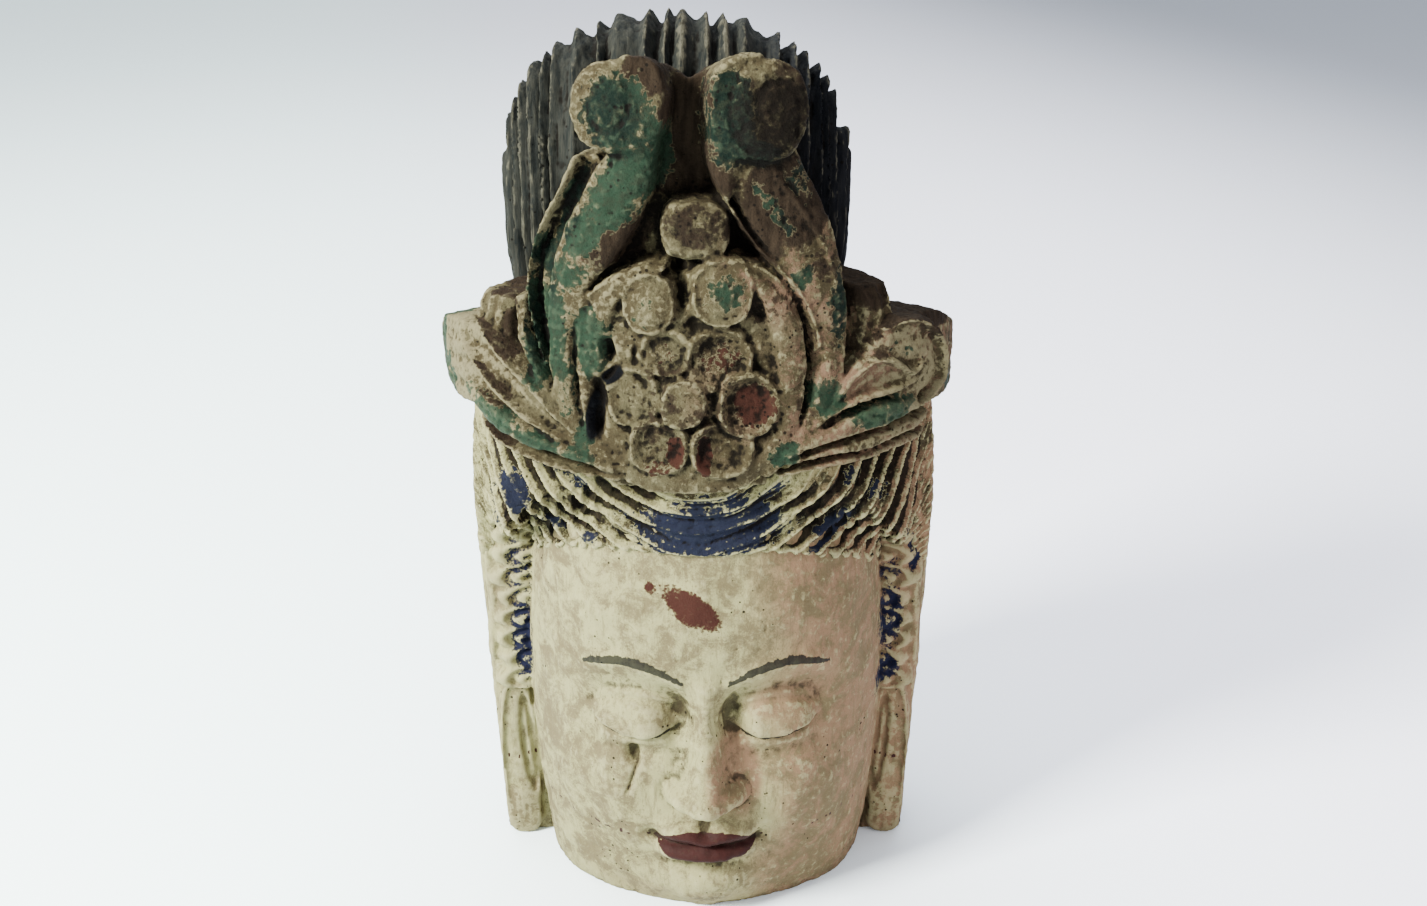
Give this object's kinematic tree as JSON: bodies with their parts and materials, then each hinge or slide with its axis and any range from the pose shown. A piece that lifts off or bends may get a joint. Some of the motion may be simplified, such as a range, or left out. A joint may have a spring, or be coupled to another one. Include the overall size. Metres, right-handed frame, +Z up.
{
  "type": "wooden guanyin head",
  "caption": "Carved wooden guanyin head, cut flat below, with a scrolled flower crown, a fluted topknot, combed hair and long ears, in worn gesso and faded paint.",
  "frame": {"origin": "a point of the flat underside, on the surface the head stands on, below the hinge line between face and side hair", "axes": "+Z up the head, its longest extent; the face looks along -Y; +X is to the right of a viewer who faces it"},
  "size_m": [0.215, 0.1653, 0.3991],
  "materials": {
    "painted_wood": "worn gesso with remains of green, blue and red paint over old brown wood"
  },
  "bodies": {
    "root": {"guanyin_head": "painted_wood"}
  },
  "joints": []
}
